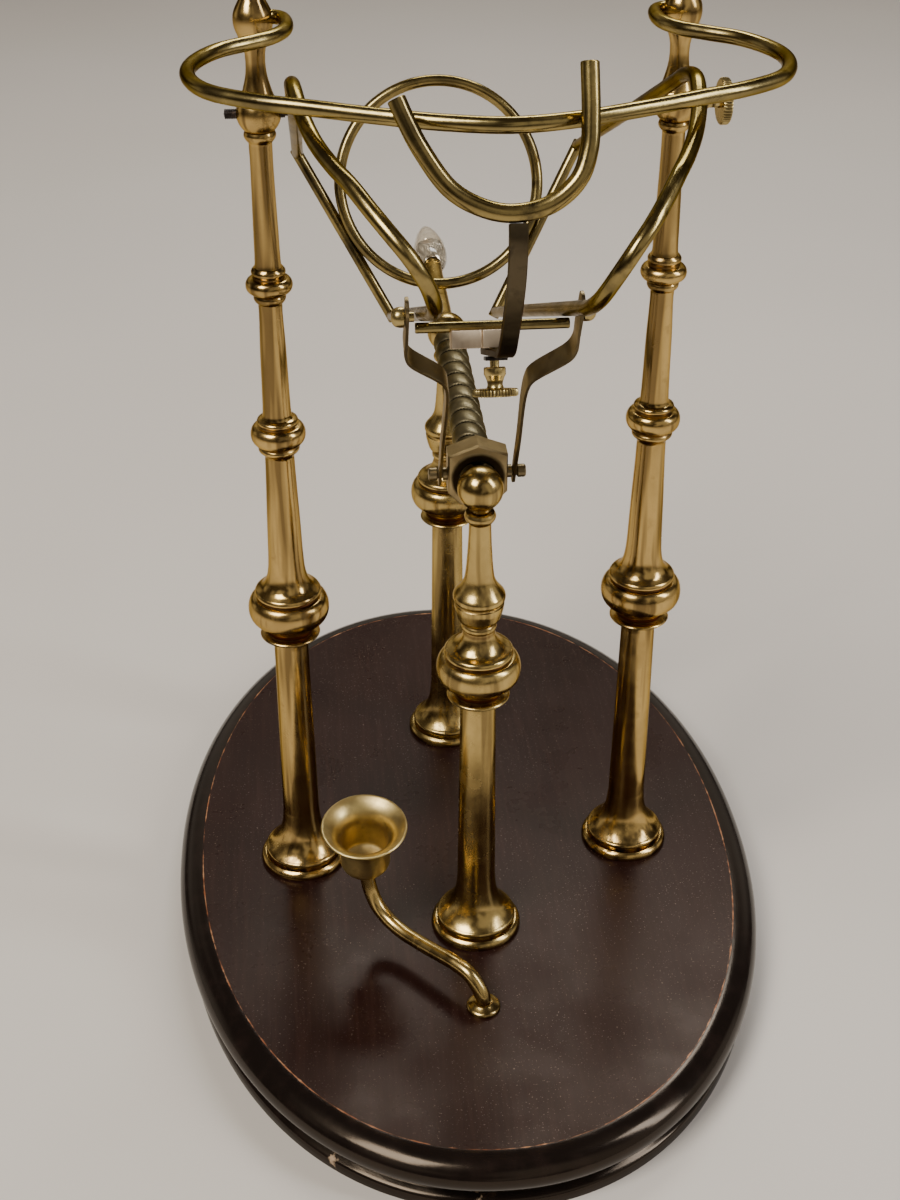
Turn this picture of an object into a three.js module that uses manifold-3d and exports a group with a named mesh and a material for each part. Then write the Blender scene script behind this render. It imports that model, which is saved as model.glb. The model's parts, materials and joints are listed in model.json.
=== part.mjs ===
// Wine decanting cradle on an oval wooden base, with a candle cup: a turned brass stand carries
// a wire cradle that a lead screw, a nut and two links tip. Millimetres, +Z up, -Y is the front.
import * as THREE from "three";
import Module from "manifold-3d";

// ---- driving dimensions --------------------------------------------------------------------
const BASE_TOP = 24; // top face of the base above the table
const BASE_HALF_X = 118.5; // half axes of the flat top face
const BASE_HALF_Y = 182;
const BASE_EXPONENT = 2.1; // 2 is an ellipse; a little more squares it off
const BASE_LIP = 11; // how far the rounded edge stands out beyond the flat top
const BASE_SEAM_Z = 10; // where the board sits on the lower moulding

const COLUMN_X = 73; // tall columns stand at plus and minus this
const COLUMN_Y = -10.9;
const FRONT_POST_Y = COLUMN_Y - 50.2;
const REAR_POST_Y = COLUMN_Y + 90.3;

const SCREW_HEIGHT = 212.7; // lead screw axis above the base top
const SCREW_R = 6.8;
const SCREW_GROOVE = 0.9;
const SCREW_PITCH = 11; // left-handed
const JOURNAL_R = 3.2;
const BALL_R = 8.5; // balls on the short posts that carry the screw

const PIVOT_HEIGHT = 336.2; // cradle pivot axis above the base top
const TILT = THREE.MathUtils.degToRad(23.2); // neck end up at rest
const WIRE_R = 2.4;
const RAIL_X = 60.8; // upper rails
const LOWER_RAIL_X = 23;
const LOWER_RAIL_Z = -70.2; // below the pivot axis, square to the rails
const RAIL_REAR = 146.8; // rails run this far behind the pivot
const UPPER_RAIL_FRONT = 70;
const LOWER_RAIL_FRONT = 107.7;
const RING_R = 42.9; // bottle ring, to the middle of its wire
const RING_X = -0.4;
const RING_Z = -14.3;

const NUT_Y = COLUMN_Y - 37.7; // nut pins at rest
const LINK_TOP_Y = COLUMN_Y - 83.85;
const LINK_TOP_HEIGHT = 294.8;
const LINK_FOOT_X = 13.7;
const LINK_TOP_X = 28;
const STRAP_T = 1.2;
const ROD_FRONT = 58; // cross rod, ahead of the pivot along the rails
const ROD_Z = -74.7;
const ROD_R = 1.75;
const NECK_FRONT = 131.5; // neck rest, ahead of the pivot along the rails

const BOW_HEIGHT = 368.4;
const FLANGE_X = -1.9; // candle arm's foot
const FLANGE_Y = COLUMN_Y - 100;
const CANDLE_TURN = THREE.MathUtils.degToRad(43); // arm's direction, from straight back to the left
const GAP = 0.3; // clearance between pieces that touch
const SEAM = 0.1; // clearance between pieces stacked on one axis
const ROUND = 12; // sides of a slender turned piece
const ROUND_WIDE = 16; // sides of a wide one
const WIRE_SIDES = 8;

// ---- materials ---------------------------------------------------------------------------------
const paint = (color, roughness, metalness) =>
  new THREE.MeshStandardMaterial({ color, roughness, metalness });
const BRASS = paint(0xc9a24a, 0.25, 1);
const WIRE_BRASS = paint(0xa08a4c, 0.3, 1);
const BRONZE = paint(0x857350, 0.45, 1);
const SCREW_METAL = paint(0x84796a, 0.45, 1);
const STEEL = paint(0x2b2a28, 0.5, 1);
const CLEAR = new THREE.MeshStandardMaterial({
  color: 0xe9e6dc, roughness: 0.1, transparent: true, opacity: 0.4,
});
const WOOD = paint(0x3a2628, 0.55, 0);
const EDGE_WOOD = paint(0x1c1416, 0.25, 0);

// ---- booleans ----------------------------------------------------------------------------------
const wasm = await Module();
wasm.setup();

function toSolid(geometry) {
  const position = geometry.getAttribute("position");
  const index = geometry.getIndex();
  const count = index ? index.count : position.count;
  const triVerts = new Uint32Array(count);
  for (let i = 0; i < count; i++) triVerts[i] = index ? index.getX(i) : i;
  const mesh = new wasm.Mesh({ numProp: 3, vertProperties: new Float32Array(position.array), triVerts });
  mesh.merge();
  return new wasm.Manifold(mesh);
}

function toGeometry(solid) {
  const mesh = solid.getMesh();
  const geometry = new THREE.BufferGeometry();
  geometry.setAttribute("position", new THREE.BufferAttribute(new Float32Array(mesh.vertProperties), 3));
  geometry.setIndex(new THREE.BufferAttribute(new Uint32Array(mesh.triVerts), 1));
  return geometry;
}

function cut(geometry, tools) {
  const solid = tools.reduce((rest, tool) => rest.subtract(toSolid(tool)), toSolid(geometry));
  return toGeometry(solid);
}

// ---- shape helpers -------------------------------------------------------------------------------
const V3 = (x, y, z) => new THREE.Vector3(x, y, z);

// A turned piece: [radius, height] points from bottom to top, axis along Z.
function turned(profile, sides = ROUND) {
  const points = profile.map(([r, z]) => new THREE.Vector2(r, z));
  return new THREE.LatheGeometry(points, sides).rotateX(Math.PI / 2);
}

// Points of a half-round bead between two heights.
function bead(rootR, topR, low, high, steps = 3) {
  const points = [];
  for (let i = 0; i <= steps; i++) {
    const a = (Math.PI * i) / steps;
    points.push([rootR + (topR - rootR) * Math.sin(a), (low + high) / 2 - ((high - low) / 2) * Math.cos(a)]);
  }
  return points;
}

// Points of a hollow curve that starts at one radius, steeply, and settles at another.
function flare(fromR, toR, low, high, steps = 3) {
  const points = [];
  for (let i = 0; i <= steps; i++) {
    const t = i / steps;
    points.push([toR + (fromR - toR) * (1 - t) ** 2, low + (high - low) * t]);
  }
  return points;
}

// Points round a ball between two heights.
function ballPoints(radius, centre, low, high, steps = 6) {
  const from = Math.asin(Math.max(-1, (low - centre) / radius));
  const to = Math.asin(Math.min(1, (high - centre) / radius));
  const points = [];
  for (let i = 0; i <= steps; i++) {
    const a = from + ((to - from) * i) / steps;
    points.push([radius * Math.cos(a), centre + radius * Math.sin(a)]);
  }
  return points;
}

// A plain rod along X or Y or Z, centred on its axis.
function rod(radius, from, to, axis = "z", sides = 12) {
  const geometry = new THREE.CylinderGeometry(radius, radius, to - from, sides);
  geometry.translate(0, (from + to) / 2, 0);
  if (axis === "z") geometry.rotateX(Math.PI / 2);
  if (axis === "x") geometry.rotateZ(-Math.PI / 2);
  return geometry;
}

// A round wire along a curve.
function wire(curve, radius, steps, closed = false) {
  const section = new THREE.Shape();
  for (let i = 0; i < WIRE_SIDES; i++) {
    const a = (2 * Math.PI * i) / WIRE_SIDES;
    if (i === 0) section.moveTo(radius, 0);
    else section.lineTo(radius * Math.cos(a), radius * Math.sin(a));
  }
  section.closePath();
  return new THREE.ExtrudeGeometry(section, { steps, extrudePath: curve, curveSegments: 1, closed });
}

const smooth = (points) =>
  new THREE.CatmullRomCurve3(points.map(([x, y, z]) => V3(x, y, z)), false, "centripetal");

function extruded(points, depth, holes = []) {
  const shape = new THREE.Shape(points.map(([x, y]) => new THREE.Vector2(x, y)));
  holes.forEach(([x, y, r]) => shape.holes.push(new THREE.Path().absarc(x, y, r, 0, 2 * Math.PI)));
  return new THREE.ExtrudeGeometry(shape, { depth, bevelEnabled: false, curveSegments: 6 });
}

function piece(parent, name, geometry, material) {
  const mesh = new THREE.Mesh(geometry, material);
  mesh.name = name;
  parent.add(mesh);
  return mesh;
}

function place(parent, x, y, z) {
  const group = new THREE.Group();
  group.position.set(x, y, z);
  parent.add(group);
  return group;
}

const object = new THREE.Group();

// ---- wooden base -------------------------------------------------------------------------------
const POSTS = [
  { name: "left_column", x: -COLUMN_X, y: COLUMN_Y, tall: true },
  { name: "right_column", x: COLUMN_X, y: COLUMN_Y, tall: true },
  { name: "front_post", x: 0, y: FRONT_POST_Y, tall: false },
  { name: "rear_post", x: 0, y: REAR_POST_Y, tall: false },
];
const BASE_SIDES = 56;
const BOLT_R = 2.7;
const BOLT_HEAD_R = 6;

// A slab with a rounded oval outline: [distance beyond the flat top's edge, height] points.
function ovalSlab(profile) {
  const geometry = turned(profile.map(([out, z]) => [out === null ? 0 : BASE_HALF_X + out, z]), BASE_SIDES);
  const position = geometry.getAttribute("position");
  const power = 2 / BASE_EXPONENT;
  for (let i = 0; i < position.count; i++) {
    const r = Math.hypot(position.getX(i), position.getY(i));
    if (r < 1e-6) continue;
    const c = position.getX(i) / r;
    const s = position.getY(i) / r;
    const out = r - BASE_HALF_X;
    position.setX(i, Math.sign(c) * Math.abs(c) ** power * (BASE_HALF_X + out));
    position.setY(i, Math.sign(s) * Math.abs(s) ** power * (BASE_HALF_Y + out));
  }
  return geometry;
}

// The board's rounded edge, from its underside up to the flat top.
const EDGE_MID_Z = 16;
function roundedEdge(steps = 5) {
  const height = BASE_TOP - EDGE_MID_Z;
  const from = Math.asin((BASE_SEAM_Z - EDGE_MID_Z) / height);
  const points = [];
  for (let i = 0; i <= steps; i++) {
    const a = from + ((Math.PI / 2 - from) * i) / steps;
    points.push([BASE_LIP * Math.cos(a), EDGE_MID_Z + height * Math.sin(a)]);
  }
  return points;
}

const boltHoles = POSTS.map(({ x, y }) => rod(BOLT_R + GAP, -1, BASE_TOP + 1).translate(x, y, 0));
const headHoles = POSTS.map(({ x, y }) => rod(BOLT_HEAD_R + 1, -1, BASE_SEAM_Z + 1).translate(x, y, 0));
const boardSlab = ovalSlab([[null, BASE_SEAM_Z], ...roundedEdge(), [null, BASE_TOP]]);
const plinthSlab = ovalSlab([[null, 0], [8.6, 0], [8.6, 2.6], [7.4, 4.4], [4.6, 6.2],
  [3.8, BASE_SEAM_Z - SEAM],
  [null, BASE_SEAM_Z - SEAM]]);
piece(object, "base_board", cut(boardSlab, boltHoles), WOOD);
piece(object, "base_plinth", cut(plinthSlab, headHoles), EDGE_WOOD);

// ---- turned posts ------------------------------------------------------------------------------
const BOLT_REACH = 16; // into the foot of a post
const KNOP_BOTTOM = 120.5;
const KNOP_TOP = 142.9;

const footFlange = () => turned([[3.4, SEAM], [18.9, SEAM], [18.9, 2.4], [17.4, 4], [3.4, 4],
  [3.4, SEAM]], ROUND_WIDE);

const lowerShaft = () => turned([
  [0, BOLT_REACH + 2], [3, BOLT_REACH + 2], [3, 4 + SEAM], [15.4, 4 + SEAM], [15.4, 5],
  [16.6, 5.4], [16.6, 7],
  ...flare(15.8, 7.8, 7.4, 26, 3), [7, KNOP_BOTTOM - SEAM], [0, KNOP_BOTTOM - SEAM],
], ROUND_WIDE);

const bigKnop = () => turned([
  [0, KNOP_BOTTOM], [10.4, KNOP_BOTTOM], [12.2, 121.4], [9.8, 122.6], [10.6, 125.6],
  ...bead(13, 16.5, 128.4, 139.6, 4), [12.4, 140.2], [13.4, 141.2], [13, KNOP_TOP], [0, KNOP_TOP],
], ROUND_WIDE);

const middleShaft = () => turned([
  [0, KNOP_TOP + SEAM], [12.6, KNOP_TOP + SEAM], ...flare(11.6, 7.2, 143.6, 153, 3), [6.6, 175],
  [5.7, 204],
  [7.9, 206.6], [7.2, 208.6], ...bead(8, 10.6, 209, 217), [7.6, 218.6], [6.6, 220], [0, 220],
]);

const upperShaft = () => turned([
  [0, 220 + SEAM], [5.5, 220 + SEAM], [4.88, 249], [4.35, 266.6], [5.9, 268.9],
  ...bead(6.2, 8.65, 270.8, 276.8), [6.2, 279.2], [5.2, 280.4], [0, 280.4],
]);

const PIVOT_BALL_R = 7.8;
const PIN_R = 1.75; // shanks that pass through the pivot balls
function pivotStem() {
  const stem = turned([
    [0, 280.4 + SEAM], [4.83, 280.4 + SEAM], [4.05, 326], [5.6, 328.4], [5.4, 330],
    ...ballPoints(PIVOT_BALL_R, PIVOT_HEIGHT, 330.6, 341, 6), [0, 341],
  ]);
  return cut(stem, [rod(PIN_R + GAP, -12, 12, "x").translate(0, 0, PIVOT_HEIGHT)]);
}

// The bow's end sits in a blind hole on the inner side of each finial.
const BOW_HOLE_DEPTH = 3;
const BOW_HOLE_R = WIRE_R + 0.8;
const FINIAL_R = 6.8;
function finial(side) {
  const body = turned([
    [0, 341 + SEAM], [5.9, 341 + SEAM], ...flare(5.6, 3.35, 342, 353, 3), [3.6, 357.5], [4.9, 361.4],
    [6.4, 364.8], [FINIAL_R, 367.9], [6, 371.2], [4.2, 374.2], [3.2, 377], [3.7, 380.6],
    [3.4, 385], [1.8, 389.4],
    [0, 390.6],
  ]);
  const reach = FINIAL_R - BOW_HOLE_DEPTH;
  const hole = side > 0 ? rod(BOW_HOLE_R, -12, -reach, "x") : rod(BOW_HOLE_R, reach, 12, "x");
  return cut(body, [hole.translate(0, 0, BOW_HEIGHT)]);
}

const shortUpper = () => turned([
  [0, KNOP_TOP + SEAM],
  [12.6, KNOP_TOP + SEAM], ...flare(11.4, 5.96, 143.6, 150.4, 3), [6.7, 153.6], [6, 155.4],
  [8, 157], [9.6, 164], [9.9, 168.6], [5.5, 174.4], [4.05, 198], [5.7, 201.4], [5.2, 203.6], [0, 203.6],
]);

function bearingBall(through) {
  const ballTop = SCREW_HEIGHT + BALL_R;
  const ball = turned([[0, 203.6 + SEAM], ...ballPoints(BALL_R, SCREW_HEIGHT, 205, ballTop, 8)]);
  const bore = rod(JOURNAL_R + GAP, through ? -12 : -5, 12, "y").translate(0, 0, SCREW_HEIGHT);
  return cut(ball, [bore]);
}

const boltHeadTop = BASE_SEAM_Z - SEAM;
const pillarBolt = () => turned([
  [0, boltHeadTop - 4], [BOLT_HEAD_R, boltHeadTop - 4], [BOLT_HEAD_R, boltHeadTop],
  [BOLT_R, boltHeadTop],
  [BOLT_R, BASE_TOP + BOLT_REACH], [0, BASE_TOP + BOLT_REACH],
], 12);

for (const { name, x, y, tall } of POSTS) {
  const post = place(object, x, y, BASE_TOP);
  piece(post, `${name}_foot`, footFlange(), BRASS);
  piece(post, `${name}_shaft`, lowerShaft(), BRASS);
  piece(post, `${name}_knop`, bigKnop(), BRASS);
  if (tall) {
    const side = Math.sign(x);
    piece(post, `${name}_middle`, middleShaft(), BRASS);
    piece(post, `${name}_upper`, upperShaft(), BRASS);
    piece(post, `${name}_pivot_stem`, pivotStem(), BRASS);
    piece(post, `${name}_finial`, finial(side), BRASS);
  } else {
    piece(post, `${name}_upper`, shortUpper(), BRASS);
    piece(post, `${name}_ball`, bearingBall(name === "rear_post"), BRASS);
  }
  piece(place(object, x, y, 0), `${name}_bolt`, pillarBolt(), STEEL);
}

// ---- bow between the finials -------------------------------------------------------------------
// Half of its outline from the right finial round to the front: [x, distance ahead of the columns].
const BOW_OUTLINE = [[66, 0], [63.4, 2.2], [62, 8], [62.6, 18], [67.2, 27], [73.7, 33], [84, 42],
  [91, 57],
  [91.4, 71], [85.4, 86], [72, 97], [56, 105], [38, 114], [18, 122.4]];
const BOW_FRONT = 126;
const bowHalf = (side) => BOW_OUTLINE.map(([x, ahead]) => [side * x, -ahead, 0]);
const bowTip = COLUMN_X - FINIAL_R + BOW_HOLE_DEPTH - GAP;
const bowCurve = smooth([
  [bowTip, 0, 0], ...bowHalf(1), [0, -BOW_FRONT, 0], ...bowHalf(-1).reverse(), [-bowTip, 0, 0]]);
piece(place(object, 0, COLUMN_Y, BASE_TOP + BOW_HEIGHT), "bow", wire(bowCurve, WIRE_R, 80), WIRE_BRASS);

// ---- lead screw and its handle -----------------------------------------------------------------
const screwAxis = place(object, 0, 0, BASE_TOP + SCREW_HEIGHT);
const THREAD_FRONT = FRONT_POST_Y + BALL_R + 0.6;
const THREAD_REAR = REAR_POST_Y - BALL_R - 0.6;
const HANDLE_FRONT = REAR_POST_Y + BALL_R + 0.8;
const HANDLE_REAR = COLUMN_Y + 186;
const HANDLE_R = 3.8;

// Narrow round grooves that wind to the left between wide lands.
function threadRadius(angle, y) {
  const phase = Math.cos(angle + (2 * Math.PI * y) / SCREW_PITCH);
  return SCREW_R - SCREW_GROOVE * Math.max(0, phase) ** 2;
}

function threadedShaft() {
  const rings = 44;
  const length = THREAD_REAR - THREAD_FRONT;
  const profile = [[0, FRONT_POST_Y - 4], [JOURNAL_R, FRONT_POST_Y - 4], [JOURNAL_R, THREAD_FRONT]];
  for (let i = 0; i <= rings; i++) profile.push([SCREW_R, THREAD_FRONT + (length * i) / rings]);
  profile.push([JOURNAL_R, THREAD_REAR], [JOURNAL_R, HANDLE_FRONT - SEAM], [0, HANDLE_FRONT - SEAM]);
  const geometry = turned(profile);
  const position = geometry.getAttribute("position");
  for (let i = 0; i < position.count; i++) {
    const x = position.getX(i);
    const y = position.getY(i);
    const onThread = Math.hypot(x, y) > JOURNAL_R + 1;
    if (!onThread) continue;
    const scale = threadRadius(Math.atan2(y, x), position.getZ(i)) / SCREW_R;
    position.setX(i, x * scale);
    position.setY(i, y * scale);
  }
  return geometry.rotateX(-Math.PI / 2);
}

const KNOB_FRONT = COLUMN_Y + 168;
const KNOB_REAR = COLUMN_Y + 217;
const KNOB_R = 7.7;
const knobAt = (t) => KNOB_FRONT + (KNOB_REAR - KNOB_FRONT) * t;
const handleKnob = () => turned([
  [0, HANDLE_REAR + GAP], [HANDLE_R + GAP, HANDLE_REAR + GAP], [HANDLE_R + GAP, KNOB_FRONT],
  [5.4, KNOB_FRONT],
  [6.7, knobAt(0.08)], [KNOB_R, knobAt(0.25)], [KNOB_R, knobAt(0.42)], [6.2, knobAt(0.64)],
  [3.9, knobAt(0.84)],
  [1.6, knobAt(0.97)], [0, KNOB_REAR],
]).rotateX(-Math.PI / 2);

piece(screwAxis, "lead_screw", threadedShaft(), SCREW_METAL);
piece(screwAxis, "handle_rod", rod(HANDLE_R, HANDLE_FRONT, HANDLE_REAR, "y"), BRASS);
piece(screwAxis, "handle_knob", handleKnob(), CLEAR);

// ---- nut and its pins --------------------------------------------------------------------------
const NUT_HALF = 11; // out to the flat sides that carry the pins
const NUT_OUTLINE = [[0, 13], [-NUT_HALF, 8.8], [-NUT_HALF, -6.6], [-6.2, -11.6], [6.2, -11.6],
  [NUT_HALF, -6.6],
  [NUT_HALF, 8.8]];
const NUT_LENGTH = 10.5;
const NUT_BORE_R = SCREW_R + 0.35;
const nutPlace = place(object, 0, NUT_Y, BASE_TOP + SCREW_HEIGHT);

function nutBlock() {
  const block = extruded(NUT_OUTLINE, NUT_LENGTH).rotateX(Math.PI / 2).translate(0, NUT_LENGTH / 2, 0);
  return cut(block, [rod(NUT_BORE_R, -NUT_LENGTH, NUT_LENGTH, "y", 20)]);
}

const sideways = (profile, side) => turned(profile, 12).rotateY((side * Math.PI) / 2);
const nutPin = (side) => sideways([
  [0, NUT_HALF + SEAM], [2.4, NUT_HALF + SEAM], [2.4, 12.7], [1.7, 12.7], [1.7, 14.8],
  [2.45, 14.8], [2.45, 17.4],
  [1.9, 18], [0, 18],
], side);

piece(nutPlace, "nut", nutBlock(), BRONZE);
for (const [word, side] of [["left", -1], ["right", 1]]) {
  piece(nutPlace, `nut_pin_${word}`, nutPin(side), BRONZE);
}

// ---- links from the nut to the cradle ----------------------------------------------------------
const NUT_PIN_HEIGHT = SCREW_HEIGHT;
const linkRise = LINK_TOP_HEIGHT - NUT_PIN_HEIGHT;
const linkRun = NUT_Y - LINK_TOP_Y;
const LINK_LENGTH = Math.hypot(linkRise, linkRun);
const linkPlace = place(object, 0, NUT_Y, BASE_TOP + NUT_PIN_HEIGHT);
linkPlace.rotation.x = Math.atan2(linkRun, linkRise);

// A strap with a joggle, drawn for the right side; narrow at the foot, wide at the top.
function strap() {
  const footX = LINK_FOOT_X - STRAP_T / 2;
  const topX = LINK_TOP_X - STRAP_T / 2;
  const bends = [[footX, -6], [footX, 60.3], [topX, 74.4], [topX, 102.3]];
  const back = bends.map(([x, s], i) => [x + STRAP_T, s - (i === 1 || i === 2 ? 0.5 : 0)]).reverse();
  const width = 4.8;
  const geometry = extruded([...bends, ...back], width).rotateX(Math.PI / 2).translate(0, width / 2, 0);
  const position = geometry.getAttribute("position");
  for (let i = 0; i < position.count; i++) {
    const wider = 1 + 0.6 * THREE.MathUtils.clamp(position.getZ(i) / 74, 0, 1);
    position.setY(i, position.getY(i) * wider);
  }
  const eye = rod(2, 0, 40, "x");
  const topEye = rod(1.9, 0, 40, "x").translate(0, 0, LINK_LENGTH);
  return cut(geometry, [eye, topEye]);
}

const mirrored = (geometry) => toGeometry(toSolid(geometry).mirror([1, 0, 0]));
const railFace = LOWER_RAIL_X + WIRE_R;
const linkScrew = (side) => sideways([
  [0, railFace + GAP], [1.6, railFace + GAP], [1.6, 28.8], [3.35, 28.8], [3.35, 30], [2.9, 31.6],
  [1.7, 32.7], [0, 33],
], side).translate(0, 0, LINK_LENGTH);

piece(linkPlace, "link_right", strap(), BRONZE);
piece(linkPlace, "link_left", mirrored(strap()), BRONZE);
for (const [word, side] of [["left", -1], ["right", 1]]) {
  piece(linkPlace, `link_screw_${word}`, linkScrew(side), BRASS);
}

// ---- cradle: x across, -y towards the neck end, z square to the rails --------------------------
const cradle = place(object, 0, COLUMN_Y, BASE_TOP + PIVOT_HEIGHT);
cradle.rotation.x = -TILT;

// Front arm from the upper rail round to the lower rail: [x, ahead of the pivot, height].
const ARM = [[60.8, UPPER_RAIL_FRONT, 0], [60.2, 88, -3.6], [58.3, 99.6, -12.2], [55, 109.4, -21],
  [50.6, 118.6, -28.4],
  [45.6, 127.4, -35], [40.8, 133.4, -42], [36, 137.6, -48.6], [31, 139.4, -55.2], [26.8, 136.4, -61.6],
  [23.8, 126, -67.6], [23, LOWER_RAIL_FRONT, LOWER_RAIL_Z]];
const railRear = RAIL_REAR - WIRE_R - GAP; // the rear bar's wire lies across the rails' cut ends

function sideWire(side) {
  const path = new THREE.CurvePath();
  const at = (x, ahead, z) => V3(side * x, -ahead, z);
  path.add(new THREE.LineCurve3(at(RAIL_X, -railRear, 0), at(RAIL_X, UPPER_RAIL_FRONT, 0)));
  path.add(smooth(ARM.map(([x, ahead, z]) => [side * x, -ahead, z])));
  const railEnd = at(LOWER_RAIL_X, -railRear, LOWER_RAIL_Z);
  path.add(new THREE.LineCurve3(at(LOWER_RAIL_X, LOWER_RAIL_FRONT, LOWER_RAIL_Z), railEnd));
  const socket = rod(1.5, RAIL_X + 0.4, RAIL_X + 6, "x");
  return cut(wire(path, WIRE_R, 46), [side > 0 ? socket : mirrored(socket)]);
}

// The slanted bar across the rear ends of one side's rails.
function rearBar(side) {
  const top = V3(side * RAIL_X, RAIL_REAR, 0);
  const foot = V3(side * LOWER_RAIL_X, RAIL_REAR, LOWER_RAIL_Z);
  const along = foot.clone().sub(top).normalize();
  top.addScaledVector(along, -WIRE_R);
  foot.addScaledVector(along, WIRE_R);
  return wire(new THREE.LineCurve3(top, foot), WIRE_R, 1);
}

const RING_AHEAD = 3.7; // of the rear bars
const bottleRing = () => new THREE.TorusGeometry(RING_R, WIRE_R, WIRE_SIDES, 26).rotateX(Math.PI / 2)
  .translate(RING_X, RAIL_REAR - RING_AHEAD, RING_Z);

for (const [word, side] of [["left", -1], ["right", 1]]) {
  piece(cradle, `cradle_side_${word}`, sideWire(side), WIRE_BRASS);
  piece(cradle, `rear_bar_${word}`, rearBar(side), WIRE_BRASS);
}
piece(cradle, "bottle_ring", bottleRing(), WIRE_BRASS);

// Cross rod under the lower rails; it lies in a groove in the clamp block's top.
const lowerRailUnder = LOWER_RAIL_Z - WIRE_R;
const rodHeight = Math.min(ROD_Z, lowerRailUnder - ROD_R - GAP);
const rodPlace = place(cradle, 0, -ROD_FRONT, rodHeight);
piece(rodPlace, "cross_rod", rod(ROD_R, -25.3, 24.7, "x"), WIRE_BRASS);

const BLOCK_TOP = -1.2;
const BLOCK_BOTTOM = -7;
// Plan of the block, seen from above: x across, y forward.
const BLOCK_PLAN = [[-14, -4], [6, -4], [6, 8], [-4.3, 8], [-4.3, 4.4], [-14, 4.4]];
const SHANK_R = 1.5;
function clampBlock() {
  const plan = BLOCK_PLAN.map(([x, ahead]) => [x, -ahead]).reverse();
  return cut(extruded(plan, BLOCK_TOP - BLOCK_BOTTOM).translate(0, 0, BLOCK_BOTTOM), [
    rod(SHANK_R + GAP, BLOCK_BOTTOM - 1, BLOCK_BOTTOM + 4),
    rod(ROD_R + GAP, -30, 30, "x"),
  ]);
}
piece(rodPlace, "clamp_block", clampBlock(), BRASS);

// ---- neck rest on its sliding strap ------------------------------------------------------------
const STRAP_HALF_W = 2.7;
const STRAP_HALF_H = 1.1;
const strapHeight = rodHeight + BLOCK_BOTTOM - GAP - STRAP_HALF_H;
const NECK_TRAVEL = 12; // forward
const REST_BOTTOM = -43.9;
const REST_R = 2.65;
// [ahead of the pivot, height] along the strap's middle, from its tail to the foot of the neck rest.
const STRAP_LINE = [[40, strapHeight], [58, strapHeight], [76, strapHeight], [90, strapHeight],
  [96.5, -81.4],
  [102.5, -77.8], [108.6, -73.7], [115.2, -69.2], [121.2, -64.4], [125.6, -59.8], [128.7, -55.2],
  [130.8, -50.8],
  [NECK_FRONT, REST_BOTTOM - REST_R - GAP]];
// [across, height] round the neck rest; its left arm leans out and its right arm stands straight.
const REST_LINE = [[-32.5, -12.6], [-30, -18.6], [-26.3, -26], [-18.5, -37], [-10.3, -42],
  [-1.8, REST_BOTTOM],
  [9.1, -41.8], [17.1, -35.3], [20.1, -27.4], [20.8, -18.8], [20.8, -4]];

function neckStrap() {
  const section = new THREE.Shape([[-1, -1], [1, -1], [1, 1], [-1, 1]]
    .map(([x, y]) => new THREE.Vector2(x * STRAP_HALF_H, y * STRAP_HALF_W)));
  const extrudePath = smooth(STRAP_LINE.map(([ahead, z]) => [0, -ahead, z]));
  const bar = new THREE.ExtrudeGeometry(section, { steps: 18, extrudePath });
  const slotHalf = SHANK_R + GAP;
  const slot = new THREE.BoxGeometry(2 * slotHalf, NECK_TRAVEL + 2 * slotHalf, 8)
    .translate(0, -ROD_FRONT + NECK_TRAVEL / 2, strapHeight);
  return cut(bar, [slot]);
}

const neckRest = () => wire(smooth(REST_LINE.map(([x, z]) => [x, -NECK_FRONT, z])), REST_R, 18);
piece(cradle, "neck_strap", neckStrap(), STEEL);
piece(cradle, "neck_rest", neckRest(), WIRE_BRASS);

// ---- clamp screw under the block ---------------------------------------------------------------
const clampPlace = place(cradle, 0, -ROD_FRONT, strapHeight - STRAP_HALF_H - GAP);
const PLATE_T = 1.3;
function lockPlate() {
  const plate = new THREE.BoxGeometry(7.2, 7.2, PLATE_T).translate(0.4, 0, -PLATE_T / 2);
  return cut(plate, [rod(SHANK_R + GAP, -PLATE_T - 1, 1)]);
}
const clampScrew = () => turned([
  [0, -12.9], [6.9, -12.9], [7.5, -12.4], [7.5, -10.9], [6.9, -10.4], [2.7, -10.2], [2.7, -7.9],
  [3.6, -5.9], [3.6, -3.4],
  [SHANK_R, -3.4], [SHANK_R, 5.4], [0, 5.4],
]);
piece(clampPlace, "lock_plate", lockPlate(), STEEL);
piece(clampPlace, "clamp_screw", clampScrew(), BRASS);

// ---- cradle pivots -----------------------------------------------------------------------------
const PIN_TIP_R = 1.1;
const tipX = RAIL_X + 0.4 + GAP;
const tipEnd = RAIL_X + WIRE_R + 0.6;
const pivotPlace = place(object, 0, COLUMN_Y, BASE_TOP + PIVOT_HEIGHT);
const pivotThumbscrew = () => sideways([
  [0, tipX], [PIN_TIP_R, tipX], [PIN_TIP_R, tipEnd], [PIN_R, tipEnd], [PIN_R, 82], [3.1, 82.2],
  [3.1, 84],
  [2.2, 84.6], [2.2, 88.6], [7.6, 88.6], [8.1, 89.1], [8.1, 91.4], [7.6, 91.9], [0, 91.9],
], 1);
const pivotStub = () => sideways([
  [0, tipX], [PIN_TIP_R, tipX], [PIN_TIP_R, tipEnd], [PIN_R, tipEnd], [PIN_R, 85], [0, 85],
], -1);
piece(pivotPlace, "pivot_thumbscrew", pivotThumbscrew(), BRASS);
piece(pivotPlace, "pivot_stub", pivotStub(), STEEL);

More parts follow.
